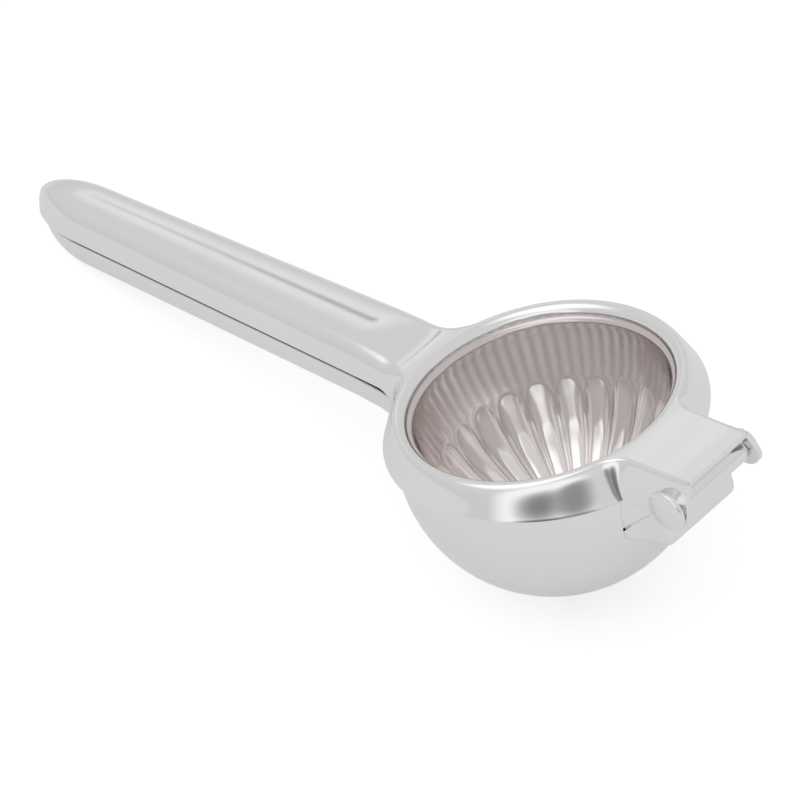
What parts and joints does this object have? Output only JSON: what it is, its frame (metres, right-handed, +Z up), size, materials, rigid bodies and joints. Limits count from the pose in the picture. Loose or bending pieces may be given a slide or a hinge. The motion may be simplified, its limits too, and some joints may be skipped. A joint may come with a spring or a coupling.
{
  "type": "citrus press juicer",
  "caption": "Hand-held citrus press of polished steel: round juice bowl, fluted press cup in a ring, riveted front hinge and two long channel handles.",
  "frame": {"origin": "the point of the juice bowl that touches the table when the closed press lies down", "axes": "+Z up from the table, +X from the handles towards the hinge, Y along the hinge pin"},
  "size_m": [0.1993, 0.0732, 0.063],
  "materials": {
    "polished_steel": "mirror-polished stainless steel sheet",
    "cup_steel": "bright drawn stainless steel",
    "bush_brass": "plain turned brass",
    "washer_plastic": "thin nylon"
  },
  "bodies": {
    "bowl_arm": {"juice_bowl": "polished_steel", "lower_handle": "polished_steel", "hinge_bracket": "polished_steel", "knuckle_bush": "bush_brass"},
    "press_arm": {"press_arm_shell": "polished_steel", "press_cup": "cup_steel", "hinge_pin": "polished_steel", "pin_cap": "polished_steel", "near_washer": "washer_plastic", "far_washer": "washer_plastic"}
  },
  "joints": [
    {"name": "press_hinge", "type": "hinge", "parent": "bowl_arm", "child": "press_arm", "pos_m": [0.04345, 0, 0.05495], "axis": [0, 1, 0], "range_deg": [0, 130]}
  ]
}
